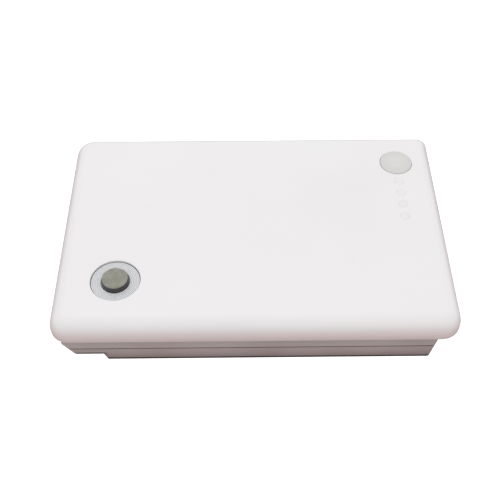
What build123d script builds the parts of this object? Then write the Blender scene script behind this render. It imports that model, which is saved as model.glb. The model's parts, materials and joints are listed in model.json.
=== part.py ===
from build123d import *
import os

# Removable laptop battery pack. Millimetres. X runs along the long side, Y from the
# front edge to the back edge, Z upwards. The origin is under the middle of the cover,
# on the plane of the pack's underside.

# ---- Outer cover ----
COVER_W = 131.21                      # across the bottom edge, before it is rounded
COVER_D = 87.21
COVER_TOP = 20.6
COVER_BOTTOM = 12.3
COVER_CORNERS = [6.2, 6.6, 3.0, 6.3]  # front left, front right, back right, back left
COVER_DRAFT = 6.8                     # degrees
COVER_EDGE_R = 5.0                    # rounding round the top face
COVER_LIP_R = 0.7                     # rounding round the bottom edge
CAVITY_TOP = 19.05
CAVITY_INSET = 2.2
CAVITY_EDGE_R = 1.9
RIM_WALL = 1.6                        # wall beside the frame's flange
FLANGE_T = 1.2

# ---- Body under the cover ----
BODY_D = 83.28
BODY_WALL = 1.5
PARTING_Z = 6.3
GROOVE_DEPTH = 0.4                    # fine groove round the parting line
GROOVE_H = 0.4
LIP_INSET = 0.75                      # of the tray's lip from the outer face
LIP_WALL = 0.7
LIP_H = 0.8
LIP_GAP = 0.05
TRAY_FLOOR = 0.7
STEP_FLOOR = 1.2
STEP_Z = 3.35                         # height of the raised underside at the left end
LEFT_FOOT_X = -59.5                   # left end of the raised underside
LEFT_TOP_X = -62.6
LEFT_TOP_Z = 8.4
STEP_TOP_X = -49.4
STEP_FOOT_X = -48.2
RIGHT_FOOT_X = 57.3
RIGHT_DRAFT = 1.0 / 6.0               # outward lean of the right end wall
LEFT_CORNER_R = 1.2
RIGHT_CORNER_R = 1.0
CAVITY_CORNER_R = 1.0
BOTTOM_EDGE_R = 0.25
LEFT_WALL_FOOT = 1.7                  # wall thickness along X at the foot of the left end
STEP_WALL_HIGH = 0.9                  # and at the top and the foot of the step
STEP_WALL_LOW = 1.05
FRAME_CLEAR = 0.05                    # gap between the frame's flange and the cover's rim

# ---- Cells ----
CELL_R = 9.1
CELL_L = 65.0
CELL_Z = 9.85
CELL_PITCH = 18.25
LONG_CELLS_X = -46.6                  # left end of the four cells that lie along X
LONG_CELLS_END = LONG_CELLS_X + CELL_L
CROSS_CELLS_X = [27.8, 46.1]          # middles of the two cells that lie along Y
CROSS_CELLS_Y = -39.9                 # their front end
CROSS_CELLS_END = CROSS_CELLS_Y + CELL_L
SLEEVE_T = 0.1
CAN_GAP = 0.05
TAB_T = 0.15
TAB_LOW = 6.0
TAB_HIGH = 14.0

# ---- Foot ----
FOOT_X = -45.16
FOOT_Y = -24.78
FOOT_SEAT_R = 8.15
FOOT_SEAT_Z = 19.65
FOOT_RING_R = 8.05
FOOT_RING_T = 0.3
FOOT_RING_HOLE_R = 4.7
FOOT_R = 4.55
FOOT_TOP_R = 4.25
FOOT_TOP = 21.9
ADHESIVE_T = 0.1

# ---- Charge-check button and its switch ----
BUTTON_X = 51.83
BUTTON_Y = 27.84
BUTTON_R = 5.65
BUTTON_HOLE_R = 5.75
BUTTON_TOP = 20.9
BUTTON_DISC_Z = 19.5
BUTTON_HOOK_Z = 18.2
BUTTON_HOOK_R = 6.5
BUTTON_HOOK_T = 0.75
BUTTON_LEG_R = 4.6
SWITCH_SIDE = 5.0
SWITCH_TOP = 17.0
SWITCH_CORNER = 0.3
PLUNGER_EDGE_R = 0.2
PLUNGER_R = 1.2
PLUNGER_CLEAR = 0.1
PLUNGER_LOW = 16.1
PLUNGER_GAP = 0.05
PLUNGER_ROOM = 0.9                    # free depth of the switch's well under the plunger

# ---- Indicator windows ----
LIGHT_X = 52.0
LIGHTS_Y = [2.1, 7.6, 13.1, 18.6]
LIGHT_R = 1.6
LIGHT_HOLE_R = 1.65
LIGHT_BAR_LOW = 18.4
LIGHT_BAR_HIGH = 18.9
LIGHT_BAR_END = 1.8                   # of the guide's bar past its end windows

# ---- Boards ----
BOARD_T = 1.0
GAUGE_BOARD_LOW = 13.0
GAUGE_BOARD_TOP = GAUGE_BOARD_LOW + BOARD_T
GAUGE_BOARD_X = [20.6, 56.6]
GAUGE_BOARD_Y = [25.4, 39.8]
GUARD_BOARD_LOW = 10.5
GUARD_BOARD_TOP = GUARD_BOARD_LOW + BOARD_T
GUARD_BOARD_X = [-60.6, -48.0]
GUARD_BOARD_Y = 39.5
PIN_R = 0.6
PIN_HOLE_R = 0.7
GAUGE_POSTS = [(23.5, 32.6), (54.0, 36.6)]
GUARD_POSTS = [(-56.3, -33.0), (-56.3, 33.0)]
FLEX_Z = 17.5
FLEX_T = 0.15

# ---- Connector ----
CONNECTOR_X = [-58.4, -50.6]
CONNECTOR_Y = [8.0, 30.0]
CONNECTOR_WAYS = 8
CONNECTOR_PITCH = 2.5
BLADE_SLOT = 1.0
BLADE_SLOT_L = 6.0
BLADE_SLOT_H = 5.4
CONTACT_T = 0.25
CONTACT_LOW = 0.8                     # of the contacts above the slots' mouths
CONTACT_HALF_L = 2.0
HOUSING_CLEAR = 0.1

# ---- Features that the laptop's bay meets ----
TONGUES_Y = [-25.0, 25.0]
TONGUE_W = 8.0
TONGUE_OUT = 1.5
TONGUE_LOW = 10.2
TONGUE_HIGH = 11.8
LATCH_W = 16.0
LATCH_LOW = 7.6
LATCH_HIGH = 10.8
LATCH_DEPTH = 1.0

# ---- Label ----
LABEL_X = [-32.0, 42.0]
LABEL_D = 54.0
LABEL_T = 0.1
LABEL_RECESS = 0.12
LABEL_CORNER_R = 2.0

BODY_Y = BODY_D / 2
INNER_Y = BODY_Y - BODY_WALL
ALL = []


def right_wall_x(z):
    """X of the right end wall's outer face at height z."""
    return RIGHT_FOOT_X + RIGHT_DRAFT * z


def left_wall_x(z):
    """X of the left end wall's outer face at height z, below its upright part."""
    rise = (z - STEP_Z) / (LEFT_TOP_Z - STEP_Z)
    return LEFT_FOOT_X + (LEFT_TOP_X - LEFT_FOOT_X) * rise


def finish(name, builder):
    """Label a finished piece and keep it for writing."""
    builder.part.label = name
    ALL.append((name, builder.part))


def rounded_plan(z, inset=0.0):
    """The cover's plan outline at height z, drawn in by an inset."""
    half_w = COVER_W / 2 - inset
    half_d = COVER_D / 2 - inset
    radii = [max(r - inset, 1.0) for r in COVER_CORNERS]
    corners = [(-half_w, -half_d), (half_w, -half_d), (half_w, half_d), (-half_w, half_d)]
    with BuildSketch(Plane.XY.offset(z)) as plan:
        with BuildLine():
            FilletPolyline(*corners, radius=radii, close=True)
        make_face()
    return plan.sketch


def side_face(*points):
    """A closed face in the XZ plane."""
    with BuildSketch(Plane.XZ) as side:
        with BuildLine():
            Polyline(*points, close=True)
        make_face()
    return side.sketch


def end_face(x, *points):
    """A closed face in the YZ plane at x."""
    with BuildSketch(Plane.YZ.offset(x)) as end:
        with BuildLine():
            Polyline(*points, close=True)
        make_face()
    return end.sketch


def plan_rect(z, x_range, y_range, corner=0.0):
    """A rectangle at height z between two X and two Y limits."""
    middle = ((x_range[0] + x_range[1]) / 2, (y_range[0] + y_range[1]) / 2)
    with BuildSketch(Plane.XY.offset(z)) as plan:
        with Locations(middle):
            Rectangle(x_range[1] - x_range[0], y_range[1] - y_range[0])
        if corner > 0:
            fillet(plan.vertices(), radius=corner)
    return plan.sketch


def plan_circles(z, radius, *centres):
    """Circles at height z."""
    with BuildSketch(Plane.XY.offset(z)) as plan:
        with Locations(*centres):
            Circle(radius)
    return plan.sketch


def body_block():
    """The whole body under the cover, solid, from the underside to the flange."""
    outline = side_face(
        (LEFT_FOOT_X, STEP_Z),
        (STEP_TOP_X, STEP_Z),
        (STEP_FOOT_X, 0),
        (RIGHT_FOOT_X, 0),
        (right_wall_x(COVER_BOTTOM), COVER_BOTTOM),
        (LEFT_TOP_X, COVER_BOTTOM),
        (LEFT_TOP_X, LEFT_TOP_Z),
    )
    with BuildPart() as block:
        extrude(outline, amount=BODY_Y, both=True)
        side_edges = block.faces().filter_by(Axis.Y).edges()
        fillet(side_edges.group_by(Axis.X)[-1], radius=RIGHT_CORNER_R)
        side_edges = block.faces().filter_by(Axis.Y).edges()
        left_edges = side_edges.group_by(Axis.X)[0] + side_edges.group_by(Axis.X)[1]
        fillet(left_edges, radius=LEFT_CORNER_R)
    return block.part


def body_cavity():
    """The space inside the body, open at the top."""
    top = COVER_BOTTOM + FLANGE_T + 1.0
    outline = side_face(
        (LEFT_FOOT_X + LEFT_WALL_FOOT, STEP_Z + STEP_FLOOR),
        (STEP_TOP_X + STEP_WALL_HIGH, STEP_Z + STEP_FLOOR),
        (STEP_FOOT_X + STEP_WALL_LOW, TRAY_FLOOR),
        (right_wall_x(TRAY_FLOOR) - BODY_WALL, TRAY_FLOOR),
        (right_wall_x(top) - BODY_WALL, top),
        (LEFT_TOP_X + BODY_WALL, top),
        (LEFT_TOP_X + BODY_WALL, LEFT_TOP_Z),
    )
    with BuildPart() as space:
        extrude(outline, amount=INNER_Y, both=True)
        upright = space.edges().filter_by(Axis.Z)
        fillet(upright, radius=CAVITY_CORNER_R)
    return space.part


def lip_block(clearance):
    """The block that the tray's lip is cut from, which the frame is rebated for."""
    low_x = LEFT_FOOT_X - LIP_WALL - clearance
    high_x = right_wall_x(PARTING_Z) - LIP_INSET + clearance
    half_y = BODY_Y - LIP_INSET + clearance
    block_plan = plan_rect(PARTING_Z, [low_x, high_x], [-half_y, half_y], 1.0)
    with BuildPart() as block:
        extrude(block_plan, amount=LIP_H + clearance)
    return block.part


def lip_space():
    """The space inside the tray's lip."""
    low_x = LEFT_FOOT_X
    high_x = right_wall_x(PARTING_Z) - LIP_INSET - LIP_WALL
    space_plan = plan_rect(PARTING_Z, [low_x, high_x], [-INNER_Y, INNER_Y], 1.0)
    with BuildPart() as space:
        extrude(space_plan, amount=LIP_H)
    return space.part


def parting_groove():
    """The fine groove round the outside where tray and frame meet."""
    low_z = PARTING_Z - GROOVE_H / 2
    low_x = left_wall_x(PARTING_Z) + GROOVE_DEPTH
    high_x = right_wall_x(PARTING_Z) - GROOVE_DEPTH
    half_y = BODY_Y - GROOVE_DEPTH
    wide = plan_rect(low_z, [-COVER_W / 2, COVER_W / 2], [-COVER_D / 2, COVER_D / 2])
    narrow = plan_rect(low_z, [low_x, high_x], [-half_y, half_y], RIGHT_CORNER_R)
    with BuildPart() as groove:
        extrude(wide, amount=GROOVE_H)
        extrude(narrow, amount=GROOVE_H, mode=Mode.SUBTRACT)
    return groove.part


def cover_cavity():
    """The hollow of the cover."""
    with BuildPart() as cavity:
        extrude(rounded_plan(COVER_BOTTOM, CAVITY_INSET), amount=CAVITY_TOP - COVER_BOTTOM)
        fillet(cavity.faces().sort_by(Axis.Z)[-1].edges(), radius=CAVITY_EDGE_R)
    return cavity.part


# ---- Top cover: a drafted shell with a seat for the foot ring, and holes for the
# button and the light guide ----
with BuildPart() as top_cover:
    extrude(rounded_plan(COVER_BOTTOM), amount=COVER_TOP - COVER_BOTTOM, taper=COVER_DRAFT)
    fillet(top_cover.faces().sort_by(Axis.Z)[-1].edges(), radius=COVER_EDGE_R)
    fillet(top_cover.faces().sort_by(Axis.Z)[0].edges(), radius=COVER_LIP_R)
    add(cover_cavity(), mode=Mode.SUBTRACT)
    extrude(rounded_plan(COVER_BOTTOM, RIM_WALL), amount=FLANGE_T, mode=Mode.SUBTRACT)
    foot_seat = plan_circles(FOOT_SEAT_Z, FOOT_SEAT_R, (FOOT_X, FOOT_Y))
    extrude(foot_seat, amount=COVER_TOP, mode=Mode.SUBTRACT)
    button_hole = plan_circles(CAVITY_TOP, BUTTON_HOLE_R, (BUTTON_X, BUTTON_Y))
    extrude(button_hole, amount=COVER_TOP, mode=Mode.SUBTRACT)
    light_holes = plan_circles(CAVITY_TOP, LIGHT_HOLE_R, *[(LIGHT_X, y) for y in LIGHTS_Y])
    extrude(light_holes, amount=COVER_TOP, mode=Mode.SUBTRACT)
finish("top_cover", top_cover)

# ---- Upper frame: the wall under the cover, with the flange that closes the overhang
# and two locating tongues at the left end ----
with BuildPart() as upper_frame:
    add(body_block())
    split(bisect_by=Plane.XY.offset(PARTING_Z), keep=Keep.TOP)
    extrude(rounded_plan(COVER_BOTTOM, RIM_WALL + FRAME_CLEAR), amount=FLANGE_T)
    for tongue_y in TONGUES_Y:
        tongue = plan_rect(TONGUE_LOW, [LEFT_TOP_X - TONGUE_OUT, LEFT_TOP_X + 1.0],
                           [tongue_y - TONGUE_W / 2, tongue_y + TONGUE_W / 2])
        extrude(tongue, amount=TONGUE_HIGH - TONGUE_LOW)
    add(body_cavity(), mode=Mode.SUBTRACT)
    add(lip_block(LIP_GAP), mode=Mode.SUBTRACT)
    add(parting_groove(), mode=Mode.SUBTRACT)
    latch_x = right_wall_x((LATCH_LOW + LATCH_HIGH) / 2) - LATCH_DEPTH
    latch = plan_rect(LATCH_LOW, [latch_x, COVER_W / 2], [-LATCH_W / 2, LATCH_W / 2])
    extrude(latch, amount=LATCH_HIGH - LATCH_LOW, mode=Mode.SUBTRACT)
finish("upper_frame", upper_frame)

# ---- Lower tray: stepped floor with ribs between the cells, posts for both boards, the
# connector's window and the label's recess ----
RIB_W = 1.2
RIB_H = 3.5
RIB_SHORT = 6.0                       # how far a rib stops from each end of its cells
POST_R = 1.5
PIN_OVER = 0.3                        # of a post's pin above its board
LABEL_CLEAR = 0.2
with BuildPart() as lower_tray:
    add(body_block())
    split(bisect_by=Plane.XY.offset(PARTING_Z), keep=Keep.BOTTOM)
    fillet(lower_tray.faces().sort_by(Axis.Z)[0].edges(), radius=BOTTOM_EDGE_R)
    add(body_cavity(), mode=Mode.SUBTRACT)
    add(lip_block(0.0))
    add(lip_space(), mode=Mode.SUBTRACT)
    add(parting_groove(), mode=Mode.SUBTRACT)
    for row in (-1, 0, 1):
        rib_y = row * CELL_PITCH
        rib = plan_rect(TRAY_FLOOR, [LONG_CELLS_X + RIB_SHORT, LONG_CELLS_END - RIB_SHORT],
                        [rib_y - RIB_W / 2, rib_y + RIB_W / 2])
        extrude(rib, amount=RIB_H)
    rib_x = sum(CROSS_CELLS_X) / 2
    rib = plan_rect(TRAY_FLOOR, [rib_x - RIB_W / 2, rib_x + RIB_W / 2],
                    [CROSS_CELLS_Y + RIB_SHORT, CROSS_CELLS_END - RIB_SHORT])
    extrude(rib, amount=RIB_H)
    extrude(plan_circles(TRAY_FLOOR, POST_R, *GAUGE_POSTS), amount=GAUGE_BOARD_LOW - TRAY_FLOOR)
    extrude(plan_circles(GAUGE_BOARD_LOW, PIN_R, *GAUGE_POSTS), amount=BOARD_T + PIN_OVER)
    guard_floor = STEP_Z + STEP_FLOOR
    extrude(plan_circles(guard_floor, POST_R, *GUARD_POSTS), amount=GUARD_BOARD_LOW - guard_floor)
    extrude(plan_circles(GUARD_BOARD_LOW, PIN_R, *GUARD_POSTS), amount=BOARD_T + PIN_OVER)
    window = plan_rect(STEP_Z, CONNECTOR_X, CONNECTOR_Y)
    extrude(window, amount=PARTING_Z - STEP_Z, mode=Mode.SUBTRACT)
    half_label = LABEL_D / 2 + LABEL_CLEAR
    label_recess = plan_rect(0, [LABEL_X[0] - LABEL_CLEAR, LABEL_X[1] + LABEL_CLEAR],
                             [-half_label, half_label])
    extrude(label_recess, amount=LABEL_RECESS, mode=Mode.SUBTRACT)
finish("lower_tray", lower_tray)

# ---- Rating label: blank, in its recess under the tray ----
with BuildPart() as rating_label:
    label_plan = plan_rect(LABEL_RECESS - LABEL_T, LABEL_X, [-LABEL_D / 2, LABEL_D / 2],
                           LABEL_CORNER_R)
    extrude(label_plan, amount=LABEL_T)
finish("rating_label", rating_label)

# ---- Foot: a ring in the cover's seat, and a rubber foot on an adhesive disc ----
RING_GROOVES = [5.6, 6.4, 7.2]
RING_GROOVE_HALF = 0.06
RING_GROOVE_DEPTH = 0.05
FOOT_EDGE_R = 0.5
with BuildPart() as foot_ring:
    extrude(plan_circles(FOOT_SEAT_Z, FOOT_RING_R, (FOOT_X, FOOT_Y)), amount=FOOT_RING_T)
    hole = plan_circles(FOOT_SEAT_Z, FOOT_RING_HOLE_R, (FOOT_X, FOOT_Y))
    extrude(hole, amount=FOOT_RING_T, mode=Mode.SUBTRACT)
    for groove_r in RING_GROOVES:
        groove_z = FOOT_SEAT_Z + FOOT_RING_T - RING_GROOVE_DEPTH
        with BuildSketch(Plane.XY.offset(groove_z)) as ring_groove:
            with Locations((FOOT_X, FOOT_Y)):
                Circle(groove_r + RING_GROOVE_HALF)
                Circle(groove_r - RING_GROOVE_HALF, mode=Mode.SUBTRACT)
        extrude(amount=RING_GROOVE_DEPTH, mode=Mode.SUBTRACT)
finish("foot_ring", foot_ring)

with BuildPart() as foot_adhesive:
    extrude(plan_circles(FOOT_SEAT_Z, FOOT_R - 0.15, (FOOT_X, FOOT_Y)), amount=ADHESIVE_T)
finish("foot_adhesive", foot_adhesive)

FOOT_LOW = FOOT_SEAT_Z + ADHESIVE_T
with BuildPart() as foot_pad:
    with BuildSketch(Plane.XZ.offset(-FOOT_Y)) as foot_section:
        with BuildLine():
            Polyline((FOOT_X, FOOT_LOW), (FOOT_X + FOOT_R, FOOT_LOW),
                     (FOOT_X + FOOT_TOP_R, FOOT_TOP), (FOOT_X, FOOT_TOP), close=True)
        make_face()
        fillet(foot_section.vertices().group_by(Axis.X)[-2], radius=FOOT_EDGE_R)
    revolve(axis=Axis((FOOT_X, FOOT_Y, 0), (0, 0, 1)))
finish("foot_pad", foot_pad)

# ---- Charge-check button: a disc with a push boss and three hooked legs that hold it
# under the cover ----
LEG_W = 2.5
LEG_T = 0.9
BOSS_R = 1.6
BUTTON_EDGE_R = 0.35
with BuildPart() as charge_button:
    extrude(plan_circles(BUTTON_DISC_Z, BUTTON_R, (BUTTON_X, BUTTON_Y)),
            amount=BUTTON_TOP - BUTTON_DISC_Z)
    fillet(charge_button.faces().sort_by(Axis.Z)[-1].edges(), radius=BUTTON_EDGE_R)
    boss = plan_circles(BUTTON_HOOK_Z, BOSS_R, (BUTTON_X, BUTTON_Y))
    extrude(boss, amount=BUTTON_DISC_Z - BUTTON_HOOK_Z)
    for turn in (0, 90, 180):
        with BuildSketch(Plane.XY.offset(BUTTON_HOOK_Z)) as hook_plan:
            with Locations(Location((BUTTON_X, BUTTON_Y), turn)):
                with Locations(((BUTTON_LEG_R + BUTTON_HOOK_R) / 2, 0)):
                    Rectangle(BUTTON_HOOK_R - BUTTON_LEG_R, LEG_W)
        extrude(amount=BUTTON_HOOK_T)
        with BuildSketch(Plane.XY.offset(BUTTON_HOOK_Z)) as leg_plan:
            with Locations(Location((BUTTON_X, BUTTON_Y), turn)):
                with Locations((BUTTON_LEG_R + LEG_T / 2, 0)):
                    Rectangle(LEG_T, LEG_W)
        extrude(amount=BUTTON_DISC_Z - BUTTON_HOOK_Z)
finish("charge_button", charge_button)

# ---- Push switch under the button ----
with BuildPart() as switch_body:
    half = SWITCH_SIDE / 2
    base = plan_rect(GAUGE_BOARD_TOP, [BUTTON_X - half, BUTTON_X + half],
                     [BUTTON_Y - half, BUTTON_Y + half])
    extrude(base, amount=SWITCH_TOP - GAUGE_BOARD_TOP)
    chamfer(switch_body.edges().filter_by(Axis.Z), length=SWITCH_CORNER)
    well = plan_circles(PLUNGER_LOW - PLUNGER_ROOM, PLUNGER_R + PLUNGER_CLEAR, (BUTTON_X, BUTTON_Y))
    extrude(well, amount=SWITCH_TOP, mode=Mode.SUBTRACT)
finish("switch_body", switch_body)

with BuildPart() as switch_plunger:
    plunger = plan_circles(PLUNGER_LOW, PLUNGER_R, (BUTTON_X, BUTTON_Y))
    extrude(plunger, amount=BUTTON_HOOK_Z - PLUNGER_GAP - PLUNGER_LOW)
    fillet(switch_plunger.faces().sort_by(Axis.Z)[-1].edges(), radius=PLUNGER_EDGE_R)
finish("switch_plunger", switch_plunger)

# ---- Light guide: four windows joined by a bar under the cover ----
with BuildPart() as light_guide:
    bar = plan_rect(LIGHT_BAR_LOW, [LIGHT_X - LIGHT_R, LIGHT_X + LIGHT_R],
                    [LIGHTS_Y[0] - LIGHT_BAR_END, LIGHTS_Y[-1] + LIGHT_BAR_END])
    extrude(bar, amount=LIGHT_BAR_HIGH - LIGHT_BAR_LOW)
    pins = plan_circles(LIGHT_BAR_HIGH, LIGHT_R, *[(LIGHT_X, y) for y in LIGHTS_Y])
    extrude(pins, amount=COVER_TOP - LIGHT_BAR_HIGH)
finish("light_guide", light_guide)

# ---- Gauge strip: flexible circuit that carries the lights over the outer cell ----
FLEX_X = [51.3, 56.8]
TAIL_X = [54.8, 56.8]
TAIL_LAND_Y = [26.5, 30.0]            # where the tail lies on the gauge board
TAIL_BEND = 0.08                      # what the sloping run's thickness adds along Y
TAIL_OVERLAP = 0.5
LED_SIZE = (1.2, 1.6, 0.6)
with BuildPart() as gauge_flex:
    strip_end = LIGHTS_Y[-1] + LIGHT_BAR_END + 0.1
    extrude(plan_rect(FLEX_Z, FLEX_X, [LIGHTS_Y[0] - LIGHT_BAR_END, strip_end]), amount=FLEX_T)
    tail = end_face(
        TAIL_X[0],
        (strip_end - TAIL_OVERLAP, FLEX_Z),
        (strip_end, FLEX_Z),
        (TAIL_LAND_Y[0], GAUGE_BOARD_TOP),
        (TAIL_LAND_Y[1], GAUGE_BOARD_TOP),
        (TAIL_LAND_Y[1], GAUGE_BOARD_TOP + FLEX_T),
        (TAIL_LAND_Y[0] + TAIL_BEND, GAUGE_BOARD_TOP + FLEX_T),
        (strip_end + TAIL_BEND, FLEX_Z + FLEX_T),
        (strip_end - TAIL_OVERLAP, FLEX_Z + FLEX_T),
    )
    extrude(tail, amount=TAIL_X[1] - TAIL_X[0])
finish("gauge_flex", gauge_flex)

with BuildPart() as status_leds:
    half_x, half_y, led_h = LED_SIZE[0] / 2, LED_SIZE[1] / 2, LED_SIZE[2]
    for light_y in LIGHTS_Y:
        chip = plan_rect(FLEX_Z + FLEX_T, [LIGHT_X - half_x, LIGHT_X + half_x],
                         [light_y - half_y, light_y + half_y])
        extrude(chip, amount=led_h)
finish("status_leds", status_leds)

# ---- Gauge board and what is on it ----
GAUGE_BOARD_CORNER = 0.8
INSULATOR_X = [26.5, 50.5]
INSULATOR_Y = [26.2, 39.2]
INSULATOR_T = 0.15
INSULATOR_DROP = 0.2                  # of its underside below the board
RESISTORS = 4
RESISTOR_FIRST_X = 30.0
RESISTOR_PITCH = 3.2
RESISTOR_HALF_W = 0.6
RESISTOR_Y = [31.0, 33.0]
RESISTOR_H = 0.55
with BuildPart() as gauge_board:
    extrude(plan_rect(GAUGE_BOARD_LOW, GAUGE_BOARD_X, GAUGE_BOARD_Y), amount=BOARD_T)
    chamfer(gauge_board.edges().filter_by(Axis.Z), length=GAUGE_BOARD_CORNER)
    holes = plan_circles(GAUGE_BOARD_LOW, PIN_HOLE_R, *GAUGE_POSTS)
    extrude(holes, amount=BOARD_T, mode=Mode.SUBTRACT)
finish("gauge_board", gauge_board)

with BuildPart() as board_insulator:
    insulator_z = GAUGE_BOARD_LOW - INSULATOR_DROP
    extrude(plan_rect(insulator_z, INSULATOR_X, INSULATOR_Y), amount=INSULATOR_T)
finish("board_insulator", board_insulator)

with BuildPart() as gauge_resistors:
    for index in range(RESISTORS):
        chip_x = RESISTOR_FIRST_X + RESISTOR_PITCH * index
        chip = plan_rect(GAUGE_BOARD_TOP, [chip_x - RESISTOR_HALF_W, chip_x + RESISTOR_HALF_W],
                         RESISTOR_Y)
        extrude(chip, amount=RESISTOR_H)
finish("gauge_resistors", gauge_resistors)

# ---- Protection board in the left bay. Chip sizes are width, length and height ----
GUARD_BOARD_CORNER = 1.6
CHIP_X = -54.2
CHIP_LIFT = 0.1
LEG_H = 0.25
GAUGE_CHIP_Y = -3.0
GAUGE_CHIP_SIZE = (4.4, 9.7, 1.0)
PROTECTOR_Y = -12.0
PROTECTOR_SIZE = (4.4, 5.0, 1.0)
MOSFETS_Y = [6.0, 13.0]
MOSFET_SIZE = (4.0, 4.9, 1.4)
SHUNT_X = [-57.4, -51.0]
SHUNT_Y = [23.5, 26.7]
SHUNT_H = 0.7
FUSE_X = [-58.0, -52.4]
FUSE_Y = [-30.5, -26.5]
FUSE_H = 1.0
FUSE_BEVEL = 0.2
CAPACITORS = 6
CAPACITOR_X = [-60.0, -59.1]
CAPACITOR_FIRST_Y = -10.5
CAPACITOR_PITCH = 3.4
CAPACITOR_HALF_L = 0.8
CAPACITOR_H = 0.8
with BuildPart() as protection_board:
    extrude(plan_rect(GUARD_BOARD_LOW, GUARD_BOARD_X, [-GUARD_BOARD_Y, GUARD_BOARD_Y]),
            amount=BOARD_T)
    chamfer(protection_board.edges().filter_by(Axis.Z), length=GUARD_BOARD_CORNER)
    holes = plan_circles(GUARD_BOARD_LOW, PIN_HOLE_R, *GUARD_POSTS)
    extrude(holes, amount=BOARD_T, mode=Mode.SUBTRACT)
finish("protection_board", protection_board)


def chip_with_legs(chip_y, size, leg_count, leg_reach):
    """A moulded chip on the protection board with a row of legs along both X sides."""
    width, length, height = size
    extrude(plan_rect(GUARD_BOARD_TOP + CHIP_LIFT, [CHIP_X - width / 2, CHIP_X + width / 2],
                      [chip_y - length / 2, chip_y + length / 2]), amount=height)
    pitch = length / (leg_count + 0.5)
    reach = width / 2 + leg_reach
    for index in range(leg_count):
        leg_y = chip_y + (index - (leg_count - 1) / 2) * pitch
        leg = plan_rect(GUARD_BOARD_TOP, [CHIP_X - reach, CHIP_X + reach],
                        [leg_y - pitch / 4, leg_y + pitch / 4])
        extrude(leg, amount=LEG_H)


with BuildPart() as fuel_gauge_chip:
    chip_with_legs(GAUGE_CHIP_Y, GAUGE_CHIP_SIZE, leg_count=14, leg_reach=1.0)
finish("fuel_gauge_chip", fuel_gauge_chip)

with BuildPart() as protector_chip:
    chip_with_legs(PROTECTOR_Y, PROTECTOR_SIZE, leg_count=7, leg_reach=0.9)
finish("protector_chip", protector_chip)

with BuildPart() as mosfets:
    for mosfet_y in MOSFETS_Y:
        chip_with_legs(mosfet_y, MOSFET_SIZE, leg_count=4, leg_reach=1.0)
finish("mosfets", mosfets)

with BuildPart() as sense_resistor:
    extrude(plan_rect(GUARD_BOARD_TOP, SHUNT_X, SHUNT_Y), amount=SHUNT_H)
finish("sense_resistor", sense_resistor)

with BuildPart() as chemical_fuse:
    extrude(plan_rect(GUARD_BOARD_TOP, FUSE_X, FUSE_Y), amount=FUSE_H)
    chamfer(chemical_fuse.faces().sort_by(Axis.Z)[-1].edges(), length=FUSE_BEVEL)
finish("chemical_fuse", chemical_fuse)

with BuildPart() as board_capacitors:
    for index in range(CAPACITORS):
        cap_y = CAPACITOR_FIRST_Y + CAPACITOR_PITCH * index
        chip = plan_rect(GUARD_BOARD_TOP, CAPACITOR_X,
                         [cap_y - CAPACITOR_HALF_L, cap_y + CAPACITOR_HALF_L])
        extrude(chip, amount=CAPACITOR_H)
finish("board_capacitors", board_capacitors)

# ---- Connector: eight blade slots open downwards, each with a spring contact ----
SLOTS_MID_X = sum(CONNECTOR_X) / 2
SLOTS_MID_Y = sum(CONNECTOR_Y) / 2
SLOTS_Y = [SLOTS_MID_Y + (i - (CONNECTOR_WAYS - 1) / 2) * CONNECTOR_PITCH
           for i in range(CONNECTOR_WAYS)]
with BuildPart() as connector_housing:
    housing = plan_rect(STEP_Z, [CONNECTOR_X[0] + HOUSING_CLEAR, CONNECTOR_X[1] - HOUSING_CLEAR],
                        [CONNECTOR_Y[0] + HOUSING_CLEAR, CONNECTOR_Y[1] - HOUSING_CLEAR])
    extrude(housing, amount=GUARD_BOARD_LOW - STEP_Z)
    for slot_y in SLOTS_Y:
        slot = plan_rect(STEP_Z, [SLOTS_MID_X - BLADE_SLOT_L / 2, SLOTS_MID_X + BLADE_SLOT_L / 2],
                         [slot_y - BLADE_SLOT / 2, slot_y + BLADE_SLOT / 2])
        extrude(slot, amount=BLADE_SLOT_H, mode=Mode.SUBTRACT)
finish("connector_housing", connector_housing)

with BuildPart() as connector_contacts:
    for slot_y in SLOTS_Y:
        wall_y = slot_y + BLADE_SLOT / 2
        blade = plan_rect(STEP_Z + CONTACT_LOW,
                          [SLOTS_MID_X - CONTACT_HALF_L, SLOTS_MID_X + CONTACT_HALF_L],
                          [wall_y - CONTACT_T, wall_y])
        extrude(blade, amount=BLADE_SLOT_H - CONTACT_LOW)
finish("connector_contacts", connector_contacts)

# ---- Cells: six cans, each in a sleeve, with a cap and a paper washer at the plus end.
# Each cell is drawn along its own axis from its minus end ----
CAN_R = CELL_R - SLEEVE_T - CAN_GAP
CAN_TOP = CELL_L - 0.4
CAP_SEAT = CELL_L - 1.6
SLEEVE_TOP = CAN_TOP + 0.15
CAP_R = 6.9
CAP_STEP = 0.6                        # thickness of the cap's outer part
CAP_NUB_R = 3.6
CAP_NUB_FOOT_R = 3.9
BEAD_LOW = 61.0                       # the rolled bead below the can's crimp
BEAD_HIGH = 62.2
BEAD_DEPTH = 0.5
BEAD_SLOPE = 0.3
SLEEVE_HOLE_R = 7.5                   # at the minus end
SLEEVE_TOP_HOLE_R = 7.6
WASHER_R = 8.8
WASHER_HOLE_R = 4.2
long_rows = [(row - 1.5) * CELL_PITCH for row in range(4)]
cell_planes = []
for row, row_y in enumerate(long_rows):
    plus_right = row < 2
    start_x = LONG_CELLS_X if plus_right else LONG_CELLS_END
    heading = 1 if plus_right else -1
    cell_planes.append(Plane(origin=(start_x, row_y, CELL_Z), x_dir=(0, 1, 0),
                             z_dir=(heading, 0, 0)))
for column_x in CROSS_CELLS_X:
    cell_planes.append(Plane(origin=(column_x, CROSS_CELLS_Y, CELL_Z), x_dir=(1, 0, 0),
                             z_dir=(0, 1, 0)))


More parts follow.
